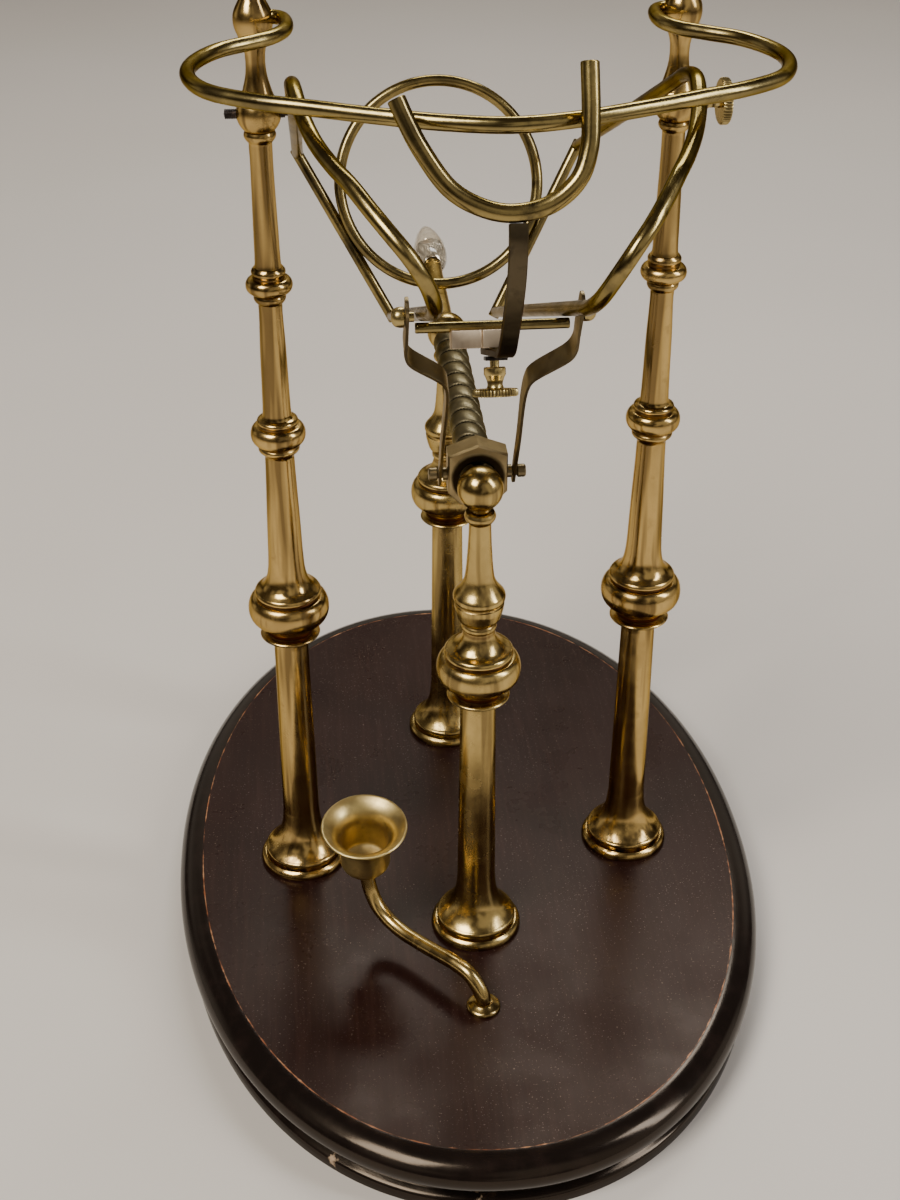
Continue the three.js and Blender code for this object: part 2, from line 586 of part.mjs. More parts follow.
// ---- candle cup on its swinging arm ------------------------------------------------------------
const candlePlace = place(object, FLANGE_X, FLANGE_Y, BASE_TOP);
const candleTurn = new THREE.Group();
candleTurn.rotation.z = CANDLE_TURN;
candlePlace.add(candleTurn);
const CUP_REACH = 65.6;
const CUP_BOTTOM = 37;
const CUP_LEAN = THREE.MathUtils.degToRad(8);
const candleFlange = () => turned([[0, SEAM], [6.9, SEAM], [6.9, 1.4], [5.4, 2.6], [3.6, 3], [0, 3]]);
// [along the arm, height] of the arm's middle.
const ARM_R = 3.1;
const ARM_LINE = [[0, 3 + 2 * GAP], [0.3, 5.2], [2.9, 9.3], [7.6, 13.2], [14.8, 14.2],
  [24.5, 13.5], [34.2, 12.8],
  [44.2, 12.7], [52.5, 14.4], [58.9, 18.4], [62.7, 24.3], [64.6, 31], [65.4, CUP_BOTTOM - 3 * GAP]];
const candleArm = () => wire(smooth(ARM_LINE.map(([y, z]) => [0, y, z])), ARM_R, 18);
const candleCup = () => turned([
  [0, 0], [6, 0.3], [9.4, 2], [10.4, 5], [10.4, 13.4], [11.3, 17], [13.5, 20.3], [17.4, 23.6],
  [17, 24.5],
  [12.8, 21.6], [10.3, 18.2], [9.3, 14.4], [9.3, 5], [8.2, 3.2], [0, 2],
], ROUND_WIDE);
piece(candlePlace, "candle_flange", candleFlange(), BRASS);
piece(candleTurn, "candle_arm", candleArm(), BRASS);
const cupPlace = place(candleTurn, 0, CUP_REACH, CUP_BOTTOM);
cupPlace.rotation.set(CUP_LEAN, 0, -CANDLE_TURN, "ZYX");
piece(cupPlace, "candle_cup", candleCup(), BRASS);

export default object;
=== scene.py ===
"""Looks of the wine decanting cradle: turned brass, drawn wire, a dark oval base and a soft studio.

Shapes are in millimetres in each piece's own frame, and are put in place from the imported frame.
"""

import json
import math

import bmesh
import bpy
from mathutils import Matrix, Vector

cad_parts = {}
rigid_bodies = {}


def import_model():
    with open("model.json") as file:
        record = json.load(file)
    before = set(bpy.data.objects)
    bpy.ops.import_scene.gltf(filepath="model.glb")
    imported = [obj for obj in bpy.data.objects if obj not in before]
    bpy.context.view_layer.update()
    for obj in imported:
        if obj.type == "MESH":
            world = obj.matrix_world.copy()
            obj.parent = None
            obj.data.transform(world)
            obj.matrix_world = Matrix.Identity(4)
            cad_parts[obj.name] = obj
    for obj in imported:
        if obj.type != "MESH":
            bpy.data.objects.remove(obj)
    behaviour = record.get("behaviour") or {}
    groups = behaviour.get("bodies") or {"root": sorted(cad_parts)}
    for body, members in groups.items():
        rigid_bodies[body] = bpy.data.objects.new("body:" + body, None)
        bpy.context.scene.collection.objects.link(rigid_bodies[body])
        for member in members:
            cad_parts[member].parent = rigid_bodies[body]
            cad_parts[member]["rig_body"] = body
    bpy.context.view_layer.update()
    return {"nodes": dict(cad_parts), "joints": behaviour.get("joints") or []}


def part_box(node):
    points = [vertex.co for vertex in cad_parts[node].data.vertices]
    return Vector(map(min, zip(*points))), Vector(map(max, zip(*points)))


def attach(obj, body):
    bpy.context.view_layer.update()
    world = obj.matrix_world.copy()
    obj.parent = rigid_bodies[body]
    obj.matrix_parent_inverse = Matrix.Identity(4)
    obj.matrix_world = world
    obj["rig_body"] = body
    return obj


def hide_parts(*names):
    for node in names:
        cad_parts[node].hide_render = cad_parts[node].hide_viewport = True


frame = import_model()

MM = 0.001
JOINTS = {joint["name"]: joint for joint in frame["joints"]}


# ---- places read from the frame ----------------------------------------------------------------
def box_mm(node):
    low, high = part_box(node)
    return low / MM, high / MM


def middle(node):
    low, high = box_mm(node)
    return (low + high) / 2


BASE_TOP = box_mm("base_board")[1].z
SEAM_Z = box_mm("base_board")[0].z
BASE_OUT = box_mm("base_board")[1]
PIVOT = Vector(JOINTS["cradle_tilt"]["pos_m"]) / MM
NUT_PIN = Vector(JOINTS["link_swing"]["pos_m"]) / MM
SCREW_Z = NUT_PIN.z
AHEAD = Vector(JOINTS["neck_rest_slide"]["axis"])
TILT = math.atan2(AHEAD.z, -AHEAD.y)
CRADLE = Matrix.Translation(PIVOT) @ Matrix.Rotation(-TILT, 4, "X")
BOW_Z = middle("bow").z
CANDLE_FOOT = middle("candle_flange")
POSTS = {name: middle(f"{name}_shaft") for name in ("left_column", "right_column", "front_post",
    "rear_post")}
WIRE_R = 2.4


# ---- mesh helpers ------------------------------------------------------------------------------
def spline(points, step=1.2):
    """A smooth curve through the points, as closely spaced points."""
    points = [Vector(p) for p in points]
    ends = [2 * points[0] - points[1], *points, 2 * points[-1] - points[-2]]
    out = []
    for i in range(1, len(ends) - 2):
        before, start, end, after = ends[i - 1 : i + 3]
        times = [0.0]
        for p, q in ((before, start), (start, end), (end, after)):
            times.append(times[-1] + max((q - p).length, 1e-6) ** 0.5)
        count = max(2, math.ceil((end - start).length / step))
        for k in range(count):
            t = times[1] + (times[2] - times[1]) * k / count
            blend = lambda p, q, a, b: p * ((b - t) / (b - a)) + q * ((t - a) / (b - a))
            first = blend(before, start, times[0], times[1])
            second = blend(start, end, times[1], times[2])
            third = blend(end, after, times[2], times[3])
            fourth = blend(first, second, times[0], times[2])
            fifth = blend(second, third, times[1], times[3])
            out.append(blend(fourth, fifth, times[1], times[2]))
    out.append(points[-1])
    return out


def profile(*runs):
    """A turned outline: each run is [radius, height] points, smoothed when it has three or more."""
    out = []
    for run in runs:
        points = [Vector((r, z, 0)) for r, z in run]
        for p in spline(points, 0.7) if len(points) > 2 else points:
            if not out or (p - out[-1]).length > 1e-4:
                out.append(p)
    return [(max(p.x, 0.0), p.y) for p in out]


def bead(root, crest, low, high):
    """A half-round bead between two heights."""
    turn = [math.pi * i / 16 for i in range(17)]
    mid, half = (low + high) / 2, (high - low) / 2
    return [(root + (crest - root) * math.sin(a), mid - half * math.cos(a)) for a in turn]


def arc(radius, centre, start, end, steps=20):
    """Points round a ball, from one angle above the horizontal to another, in degrees."""
    out = []
    for i in range(steps + 1):
        a = math.radians(start + (end - start) * i / steps)
        out.append((radius * math.cos(a), centre + radius * math.sin(a)))
    return out


def hollows(outline, reach=2.6):
    """How deep each outline point lies in a groove, 0 to 1: the highest radius near it on both sides."""
    depth = []
    for i, (r, z) in enumerate(outline):
        below = max([q for q, h in outline[: i + 1] if z - h < reach] or [r])
        above = max([q for q, h in outline[i:] if h - z < reach] or [r])
        depth.append(min(1.0, max(0.0, (min(below, above) - r) / 1.4)))
    return depth


def new_object(name, vertices, faces, grime_and_shade=None, matrix=None, crease=35):
    mesh = bpy.data.meshes.new(name)
    mesh.from_pydata([tuple(Vector(v) * MM) for v in vertices], [], faces)
    if matrix is not None:
        in_metres = matrix.copy()
        in_metres.translation = matrix.translation * MM
        mesh.transform(in_metres)
    shape = bmesh.new()
    shape.from_mesh(mesh)
    bmesh.ops.recalc_face_normals(shape, faces=shape.faces)
    shape.to_mesh(mesh)
    shape.free()
    layer = mesh.attributes.new("grime_and_shade", "FLOAT", "POINT")
    layer.data.foreach_set("value", grime_and_shade if grime_and_shade else [0.0] * len(mesh.vertices))
    mesh.polygons.foreach_set("use_smooth", [True] * len(mesh.polygons))
    mesh.set_sharp_from_angle(angle=math.radians(crease))
    made = bpy.data.objects.new(name, mesh)
    bpy.context.scene.collection.objects.link(made)
    return made


def turned(name, outline, matrix=None, sides=72, flutes=0, flute_depth=0.0, flute_r=0.0, grime_and_shade=None):
    """A piece turned about its z axis. Flutes cut its widest stretch, as knurling does."""
    depth = grime_and_shade or hollows(outline)
    vertices, faces, dirt_and_shade, rings = [], [], [], []
    for (r, z), d in zip(outline, depth):
        if r < 1e-4:
            rings.append([len(vertices)])
            vertices.append((0, 0, z))
            dirt_and_shade.append(d)
            continue
        rings.append(list(range(len(vertices), len(vertices) + sides)))
        for k in range(sides):
            a = 2 * math.pi * k / sides
            cut = flute_depth * (0.5 - 0.5 * math.cos(flutes * a)) if flutes and r >= flute_r else 0.0
            vertices.append(((r - cut) * math.cos(a), (r - cut) * math.sin(a), z))
            dirt_and_shade.append(min(1.0, d + (cut / flute_depth * 0.8 if flute_depth else 0.0)))
    closed = len(rings[0]) > 1 and len(rings[-1]) > 1
    pairs = list(zip(rings, rings[1:])) + ([(rings[-1], rings[0])] if closed else [])
    for low, high in pairs:
        for k in range(sides):
            n = (k + 1) % sides
            if len(low) == 1 and len(high) == 1:
                continue
            if len(low) == 1:
                faces.append((low[0], high[k], high[n]))
            elif len(high) == 1:
                faces.append((low[k], low[n], high[0]))
            else:
                faces.append((low[k], low[n], high[n], high[k]))
    return new_object(name, vertices, faces, dirt_and_shade, matrix)


def frames(points, closed, reference):
    """Tangent and two cross directions at each point, carried along without twist."""
    count = len(points)
    out = []
    side = Vector(reference)
    for i, p in enumerate(points):
        before = points[i - 1] if closed or i > 0 else p
        after = points[(i + 1) % count] if closed or i < count - 1 else p
        tangent = (after - before).normalized()
        side = (side - tangent * side.dot(tangent)).normalized()
        out.append((tangent, side, tangent.cross(side)))
    return out


def swept(name, points, section, closed=False, reference=(1, 0, 0), widths=None, matrix=None, grime_and_shade=None):
    """A section carried along a line of points. Open ends get a flat cut with a broken edge."""
    points = [Vector(p) for p in points]
    count = len(section)
    cross = frames(points, closed, reference)
    stations = [(p, f, 1.0) for p, f in zip(points, cross)]
    if not closed:
        lip = 0.3
        first, last = cross[0][0], cross[-1][0]
        stations[0] = (points[0] + first * lip, cross[0], 1.0)
        stations[-1] = (points[-1] - last * lip, cross[-1], 1.0)
        stations = [(points[0], cross[0], 0.88), *stations, (points[-1], cross[-1], 0.88)]
    vertices, faces, dirt_and_shade = [], [], []
    for i, (p, (_, side, up), size) in enumerate(stations):
        wide = widths[min(max(i - 1, 0), len(points) - 1)] if widths else 1.0
        for a, b in section:
            vertices.append(p + side * (a * size * wide) + up * (b * size))
            dirt_and_shade.append(grime_and_shade[min(max(i - 1, 0), len(points) - 1)] if grime_and_shade else 0.0)
    rows = len(stations)
    for i in range(rows if closed else rows - 1):
        j = (i + 1) % rows
        for k in range(count):
            n = (k + 1) % count
            faces.append((i * count + k, i * count + n, j * count + n, j * count + k))
    if not closed:
        faces.append(tuple(range(count)))
        faces.append(tuple((rows - 1) * count + k for k in range(count)))
    return new_object(name, vertices, faces, dirt_and_shade, matrix)


def circle(radius, sides=28):
    return [(radius * math.cos(2 * math.pi * k / sides),
        radius * math.sin(2 * math.pi * k / sides)) for k in range(sides)]


def bar_section(half_a, half_b, corner=0.35):
    """A flat bar's section with broken corners."""
    a, b, c = half_a, half_b, corner
    return [(a, b - c), (a - c, b), (c - a, b), (-a, b - c), (-a, c - b), (c - a, -b), (a - c, -b),
        (a, c - b)]


def prism(name, plan, low, high, matrix=None, edge=0.4):
    """A block with a plan outline and softened edges."""
    shape = bmesh.new()
    bottom = [shape.verts.new((x * MM, y * MM, low * MM)) for x, y in plan]
    face = shape.faces.new(bottom)
    raised = bmesh.ops.extrude_face_region(shape, geom=[face])
    tops = [v for v in raised["geom"] if isinstance(v, bmesh.types.BMVert)]
    bmesh.ops.translate(shape, verts=tops, vec=(0, 0, (high - low) * MM))
    bmesh.ops.bevel(shape, geom=shape.edges[:], offset=edge * MM, segments=3, profile=0.5, affect="EDGES")
    bmesh.ops.recalc_face_normals(shape, faces=shape.faces)
    mesh = bpy.data.meshes.new(name)
    shape.to_mesh(mesh)
    shape.free()
    made = bpy.data.objects.new(name, mesh)
    bpy.context.scene.collection.objects.link(made)
    mesh.attributes.new("grime_and_shade", "FLOAT", "POINT")
    if matrix is not None:
        in_metres = matrix.copy()
        in_metres.translation = matrix.translation * MM
        mesh.transform(in_metres)
    mesh.polygons.foreach_set("use_smooth", [True] * len(mesh.polygons))
    mesh.set_sharp_from_angle(angle=math.radians(40))
    return made


def stands_for(made, node, material):
    """The new piece takes the CAD node's place, body and material slot."""
    made.data.materials.clear()
    made.data.materials.append(material)
    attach(made, frame["nodes"][node]["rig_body"])
    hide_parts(node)
    return made


def at(x, y, z):
    return Matrix.Translation((x, y, z))


def along_x(side, x=0.0, y=0.0, z=0.0):
    """Turns a piece's z axis to point right, or left for side -1."""
    return at(x, y, z) @ Matrix.Rotation(side * math.pi / 2, 4, "Y")


def along_y(x, y, z):
    """Turns a piece's z axis to point to the rear."""
    return at(x, y, z) @ Matrix.Rotation(-math.pi / 2, 4, "X")


# ---- materials ---------------------------------------------------------------------------------
class Nodes:
    """A short way to write a node material."""

    def __init__(self, name):
        self.material = bpy.data.materials.new(name)
        self.material.use_nodes = True
        self.tree = self.material.node_tree
        self.shader = self.tree.nodes["Principled BSDF"]
        self.place = self.add("ShaderNodeTexCoord").outputs["Object"]

    def add(self, kind, **settings):
        node = self.tree.nodes.new(kind)
        for key, value in settings.items():
            setattr(node, key, value)
        return node

    def link(self, source, target):
        self.tree.links.new(source, target)

    def stretched(self, scale):
        """Object coordinates scaled along each axis."""
        mapping = self.add("ShaderNodeMapping")
        mapping.inputs["Scale"].default_value = scale
        self.link(self.place, mapping.inputs["Vector"])
        return mapping.outputs["Vector"]

    def noise(self, scale, detail=4.0, stretch=(1, 1, 1), roughness=0.6):
        node = self.add("ShaderNodeTexNoise")
        node.inputs["Scale"].default_value = scale
        node.inputs["Detail"].default_value = detail
        node.inputs["Roughness"].default_value = roughness
        self.link(self.stretched(stretch), node.inputs["Vector"])
        return node.outputs["Fac"]

    def attribute(self, name):
        return self.add("ShaderNodeAttribute", attribute_name=name).outputs["Fac"]

    def ramp(self, source, low, high, start=0.0, end=1.0):
        """Maps low..high of the source to start..end, held beyond."""
        node = self.add("ShaderNodeMapRange")
        for key, value in (("From Min", low), ("From Max", high), ("To Min", start), ("To Max", end)):
            node.inputs[key].default_value = value
        self.link(source, node.inputs["Value"])
        return node.outputs["Result"]

    def math(self, operation, a, b):
        node = self.add("ShaderNodeMath", operation=operation)
        for slot, value in ((0, a), (1, b)):
            if isinstance(value, (int, float)):
                node.inputs[slot].default_value = value
            else:
                self.link(value, node.inputs[slot])
        return node.outputs["Value"]

    def mix(self, share, a, b):
        node = self.add("ShaderNodeMix", data_type="RGBA")
        self.link(share, node.inputs["Factor"])
        for slot, value in (("A", a), ("B", b)):
            socket = [s for s in node.inputs if s.name == slot and s.type == "RGBA"][0]
            if isinstance(value, tuple):
                socket.default_value = (*value, 1.0)
            else:
                self.link(value, socket)
        return [s for s in node.outputs if s.type == "RGBA"][0]

    def colour(self, source):
        self.link(source, self.shader.inputs["Base Color"])

    def rough(self, source):
        self.link(source, self.shader.inputs["Roughness"])

    def bump(self, height, strength, distance):
        node = self.add("ShaderNodeBump")
        node.inputs["Strength"].default_value = strength
        node.inputs["Distance"].default_value = distance
        self.link(height, node.inputs["Height"])
        self.link(node.outputs["Normal"], self.shader.inputs["Normal"])


def brass(name, bright, stain_and_band_tone, dirt_and_shade, gloss, stained, reflection_bands=0.0, rim=(0.80, 0.68, 0.48)):
    """Metal with cloudy tarnish, painted reflection bands along its length, a groove colour that is dirt
    in turned hollows and painted shade where a piece sets it, and fine handling marks.
    """
    m = Nodes(name)
    m.shader.inputs["Metallic"].default_value = 1.0
    clouds = m.ramp(m.noise(42, 5), 0.40, 0.68)
    blotches = m.ramp(m.noise(160, 4), 0.52, 0.74)
    tarnish_and_bands = m.math("MULTIPLY", m.math("MAXIMUM", clouds, blotches), stained)
    # Dark streaks along the length, in the stain colour, are painted reflection bands: they stand in for
    # dark surroundings mirrored in upright shafts.
    if reflection_bands:
        painted_bands = m.ramp(m.noise(170, 2, stretch=(1, 1, 0.05)), 0.48, 0.62, 0.0, reflection_bands)
        tarnish_and_bands = m.math("MAXIMUM", tarnish_and_bands, painted_bands)
    base = m.mix(tarnish_and_bands, bright, stain_and_band_tone)
    # The groove colour is real dirt in turned hollows, and painted shade in the screw's grooves, on the
    # nut's bore and front face, and on the cup's floor.
    grooves = m.ramp(m.math("ADD", m.attribute("grime_and_shade"), m.math("MULTIPLY", m.noise(300, 3), 0.35)),
        0.30, 0.95)
    m.colour(m.mix(grooves, base, dirt_and_shade))
    hazy = m.ramp(m.noise(90, 5), 0.35, 0.75, gloss, gloss + 0.16)
    m.rough(m.math("ADD", hazy, m.math("MULTIPLY", grooves, 0.30)))
    scratches = m.noise(900, 2, stretch=(1, 1, 0.12))
    m.bump(scratches, 0.10, 0.0002)
    m.shader.inputs["Specular Tint"].default_value = (*rim, 1.0)
    return m.material


# The streak value, 0.90 here and 0.80 for the short posts, sets the strength of painted reflection bands
# along the length.
TURNED_BRASS = brass("turned_brass", (0.62, 0.43, 0.155), (0.17, 0.110, 0.042), (0.085, 0.026, 0.011),
                     0.15, 0.45, 0.90, (0.70, 0.58, 0.38))
SHORT_BRASS = brass("short_post_brass", (0.60, 0.44, 0.165), (0.19, 0.130, 0.052), (0.085, 0.028, 0.011),
                    0.17, 0.50, 0.80, (0.70, 0.58, 0.38))
WIRE_BRASS = brass("wire_brass", (0.36, 0.275, 0.105), (0.085, 0.066, 0.034), (0.085, 0.045, 0.022),
                   0.16, 0.95, 0.0, (0.42, 0.34, 0.20))
BOW_BRASS = brass("bow_brass", (0.38, 0.295, 0.115), (0.14, 0.110, 0.052), (0.085, 0.045, 0.022),
                  0.15, 0.9, 0.0, (0.55, 0.45, 0.28))
SMALL_BRASS = brass("small_brass", (0.56, 0.44, 0.19), (0.26, 0.20, 0.085), (0.07, 0.045, 0.018),
                    0.20, 0.8, 0.0, (0.80, 0.68, 0.48))
# Its groove colour is painted shade on the cup's floor.
CUP_BRASS = brass("cup_brass", (0.70, 0.55, 0.23), (0.34, 0.25, 0.105), (0.20, 0.14, 0.065),
                  0.30, 0.9, 0.0, (0.80, 0.68, 0.48))
BRONZE = brass("dull_bronze", (0.25, 0.195, 0.105), (0.12, 0.095, 0.055), (0.035, 0.024, 0.014),
    0.30, 0.8)
# Its groove colour is painted shade on the nut's bore and front face.
NUT_METAL = brass("nut_metal", (0.36, 0.275, 0.14), (0.20, 0.150, 0.075), (0.040, 0.026, 0.012),
    0.34, 0.8)
STRAP_BRONZE = brass("strap_bronze", (0.105, 0.083, 0.050), (0.036, 0.029, 0.020), (0.02, 0.014, 0.01),
                     0.28, 0.9, 0.0, (0.30, 0.25, 0.17))
# The 0.6 here sets the strength of painted reflection bands along the length.
CLAMP_METAL = brass("clamp_metal", (0.62, 0.52, 0.40), (0.44, 0.35, 0.25), (0.12, 0.08, 0.05),
    0.40, 0.7, 0.6)
# Its near-black groove colour is painted shade in the thread's grooves.
SCREW_METAL = brass("screw_metal", (0.225, 0.190, 0.110), (0.105, 0.088, 0.053), (0.004, 0.003, 0.002),
                    0.36, 0.9, 0.0, (0.45, 0.38, 0.26))


def dark_steel():
    m = Nodes("dark_steel")
    m.shader.inputs["Metallic"].default_value = 0.85
    worn = m.ramp(m.noise(220, 5), 0.55, 0.75)
    m.colour(m.mix(worn, (0.030, 0.024, 0.022), (0.13, 0.10, 0.085)))
    m.rough(m.ramp(m.noise(150, 4), 0.3, 0.7, 0.32, 0.55))
    m.bump(m.noise(700, 3), 0.2, 0.0002)
    return m.material


def clear_knob():
    m = Nodes("clear_knob")
    m.shader.inputs["Transmission Weight"].default_value = 0.92
    m.shader.inputs["IOR"].default_value = 1.49
    haze = m.noise(120, 4)
    m.colour(m.mix(m.ramp(haze, 0.4, 0.7), (0.86, 0.79, 0.66), (0.66, 0.56, 0.41)))
    m.rough(m.ramp(haze, 0.4, 0.8, 0.04, 0.16))
    m.bump(m.noise(60, 2), 0.08, 0.0004)
    return m.material


def wood():
    """Dark stained top with fine grain and dust; the black edge is rubbed to bare wood along its line."""
    m = Nodes("stained_wood")
    out = m.attribute("out")
    grain = m.noise(420, 6, stretch=(1, 0.05, 1))
    broad = m.noise(16, 4, stretch=(1, 0.3, 1))
    top = m.mix(m.ramp(broad, 0.35, 0.65), (0.0125, 0.0042, 0.0038), (0.0190, 0.0072, 0.0060))
    top = m.mix(m.ramp(grain, 0.48, 0.72), top, (0.024, 0.010, 0.0080))
    specks = m.ramp(m.noise(1300, 2), 0.665, 0.705, 0.0, 0.5)
    patches = m.ramp(m.noise(22, 4), 0.35, 0.60, 0.25, 1.0)
    top = m.mix(m.math("MULTIPLY", specks, patches), top, (0.30, 0.22, 0.17))
    edge = m.mix(m.ramp(m.noise(120, 5), 0.5, 0.75), (0.008, 0.0055, 0.0048), (0.014, 0.0085, 0.0072))
    on_edge = m.ramp(out, 0.1, 0.9)
    surface = m.mix(on_edge, top, edge)
    from_line = m.math("ABSOLUTE", m.math("SUBTRACT", out, 0.20), 0.0)
    ragged = m.math("MULTIPLY", m.noise(130, 6), 1.68)
    rubbed = m.ramp(m.math("SUBTRACT", ragged, from_line), 0.62, 0.86)
    shade = m.mix(m.ramp(m.noise(150, 3), 0.4, 0.6), (0.24, 0.075, 0.026), (0.44, 0.22, 0.11))
    surface = m.mix(rubbed, surface, shade)
    low_rim = m.ramp(m.attribute("rim"), 0.55, 0.95)
    chips = m.math("MULTIPLY", m.ramp(m.noise(75, 5), 0.66, 0.70), low_rim)
    m.colour(m.mix(chips, surface, (0.50, 0.36, 0.24)))
    satin = m.ramp(m.noise(30, 4), 0.3, 0.7, 0.24, 0.36)
    gloss = m.ramp(m.noise(60, 4), 0.3, 0.7, 0.10, 0.20)
    keep = m.math("SUBTRACT", 1.0, on_edge)
    m.rough(m.math("ADD", m.math("MULTIPLY", satin, keep), m.math("MULTIPLY", gloss, on_edge)))
    m.bump(grain, 0.10, 0.0002)
    m.link(m.ramp(out, 0.1, 0.9, 0.15, 0.40), m.shader.inputs["Specular IOR Level"])
    m.shader.inputs["Specular Tint"].default_value = (1.0, 0.80, 0.60, 1.0)
    return m.material


DARK_STEEL = dark_steel()
CLEAR = clear_knob()
WOOD = wood()


# ---- wooden base -------------------------------------------------------------------------------
LIP = 11.0
HALF_X = BASE_OUT.x - LIP
HALF_Y = BASE_OUT.y - LIP
SQUARENESS = 2 / 2.1


def oval(name, outline):
    """A slab whose outline is [distance beyond the flat top's edge, height]; None is the middle."""
    sides = 240
    vertices, out, rings = [], [], []
    for reach, z in outline:
        if reach is None:
            rings.append([len(vertices)])
            vertices.append((0, 0, z))
            out.append(-50.0)
            continue
        rings.append(list(range(len(vertices), len(vertices) + sides)))
        for k in range(sides):
            a = 2 * math.pi * k / sides
            c, s = math.cos(a), math.sin(a)
            x = math.copysign(abs(c) ** SQUARENESS, c) * (HALF_X + reach)
            y = math.copysign(abs(s) ** SQUARENESS, s) * (HALF_Y + reach)
            vertices.append((x, y, z))
            out.append(reach)
    faces = []
    for low, high in zip(rings, rings[1:]):
        for k in range(sides):
            n = (k + 1) % sides
            if len(low) == 1:
                faces.append((low[0], high[k], high[n]))
            elif len(high) == 1:
                faces.append((low[k], low[n], high[0]))
            else:
                faces.append((low[k], low[n], high[n], high[k]))
    made = new_object(name, vertices, faces, crease=50)
    made.data.attributes.new("out", "FLOAT", "POINT").data.foreach_set("value", out)
    rim = [1.0 if z < SEAM_Z + 2.5 else 0.0 for _, _, z in vertices]
    made.data.attributes.new("rim", "FLOAT", "POINT").data.foreach_set("value", rim)
    return made


def base():
    mid = SEAM_Z + 6
    rise = BASE_TOP - mid
    start = math.degrees(math.asin((SEAM_Z - mid) / rise))
    edge = []
    for i in range(25):
        a = math.radians(start + (90 - start) * i / 24)
        edge.append((LIP * math.cos(a), mid + rise * math.sin(a)))
    flat = [(reach, BASE_TOP) for reach in (-0.5, -1.2, -2.2, -4, -30, -80)]
    board = oval("base_board_shape", [(None, SEAM_Z), *edge, *flat, (None, BASE_TOP)])
    stands_for(board, "base_board", WOOD)
    foot = [(r, z) for r, z in profile([(8.6, 0), (8.6, 2.6)],
        [(8.6, 2.6), (7.9, 4.2), (6, 5.4), (4.6, 6.4), (4, 8), (3.8, SEAM_Z - 0.1)])]
    plinth = oval("base_plinth_shape", [(None, 0.0), *foot, (None, SEAM_Z - 0.1)])
    stands_for(plinth, "base_plinth", WOOD)


# ---- turned posts ------------------------------------------------------------------------------
FOOT = profile([(3.4, 0.1), (18.6, 0.1)], [(18.6, 0.1), (18.9, 0.9), (18.9, 1.8), (18.3, 3.0),
    (17.2, 3.9)],
               [(17.2, 3.9), (3.4, 4.0)], [(3.4, 4.0), (3.4, 0.1)])[:-1]
SHAFT = profile([(0, 4.1), (15.2, 4.1)], [(15.2, 4.1), (15.2, 4.9)],
    [(15.9, 5.1), (16.6, 5.7), (16.6, 6.6), (16.1, 7.3)],
                [(15.6, 7.5), (13.6, 9.2), (11.4, 12), (9.6, 16), (8.5, 21), (7.9, 28)],
                    [(7.9, 28), (7.6, 60), (7.0, 116)],
                [(7.0, 116), (7.2, 119.2), (7.6, 120.3)], [(7.6, 120.3), (0, 120.3)])
KNOP = profile([(0, 120.5), (10.2, 120.5)], [(10.2, 120.5), (11.6, 120.7), (12.3, 121.3),
    (11.8, 122.0), (10.4, 122.4)],
               [(9.4, 122.8), (9.8, 124.2), (11.2, 126.2), (13.4, 128.1)], bead(13.2, 16.5, 128.3, 139.7),
               [(12.6, 139.9), (12.2, 140.5)], [(12.4, 140.6), (13.4, 141.0), (13.5, 141.8),
                   (13.0, 142.7), (12.8, 142.9)],
               [(12.8, 142.9), (0, 142.9)])
BELL = [(12.7, 143.0), (12.2, 143.3), (10.6, 144.4), (9.0, 146.6), (8.0, 149.4), (7.4, 153)]
MIDDLE = profile([(0, 143.0), (12.7, 143.0)], BELL, [(7.4, 153), (7.1, 158), (6.6, 175), (5.9, 195),
    (5.7, 203.6)],
                 [(5.8, 203.8), (6.6, 205.0), (7.8, 206.2), (8.0, 207.2), (7.3, 208.2)],
                     [(7.0, 208.6), (7.8, 209.2)],
                 bead(8.2, 10.6, 209.2, 216.8), [(7.4, 217.0), (7.0, 217.4)],
                 [(7.3, 217.6), (7.9, 218.2), (7.7, 219.2), (6.2, 220.0)], [(6.2, 220.0), (0, 220.0)])
UPPER = profile([(0, 220.1), (6.0, 220.1)], [(6.0, 220.1), (5.6, 221.2), (5.4, 224), (4.88, 249),
    (4.4, 263), (4.5, 266.4)],
                [(4.6, 266.6), (5.6, 267.6), (6.0, 268.9), (5.6, 270.0)], [(5.4, 270.2), (6.0, 270.8)],
                bead(6.4, 8.65, 270.8, 276.4), [(5.9, 276.5), (5.8, 277.2)],
                [(5.9, 277.4), (6.3, 278.4), (6.2, 279.4), (5.4, 280.4)], [(5.4, 280.4), (0, 280.4)])
PIVOT_STEM = profile([(0, 280.5), (5.0, 280.5)], [(5.0, 280.5), (4.8, 282), (4.5, 296), (4.1, 318),
    (4.15, 326)],
                     [(4.3, 326.4), (5.2, 327.4), (5.7, 328.8), (5.3, 330.2)],
                         [(4.7, 330.4), (5.2, 330.6)],
                     arc(7.8, 336.2, -46, 38), [(6.1, 341.0), (0, 341.0)])
FINIAL = profile([(0, 341.1), (6.3, 341.1)], [(6.3, 341.1), (6.1, 341.6), (5.6, 342.6), (4.7, 345.4),
    (3.8, 349), (3.4, 353), (3.5, 356.5)],
                 [(3.5, 356.5), (4.1, 359.2), (5.4, 362.4), (6.5, 365.2), (6.8, 367.9), (6.4, 370.4),
                     (5.2, 373), (3.9, 375.4),
                  (3.3, 377.6), (3.6, 380), (3.7, 382.4), (3.2, 386), (2.0, 389.2), (0.9, 390.4),
                      (0, 390.6)])
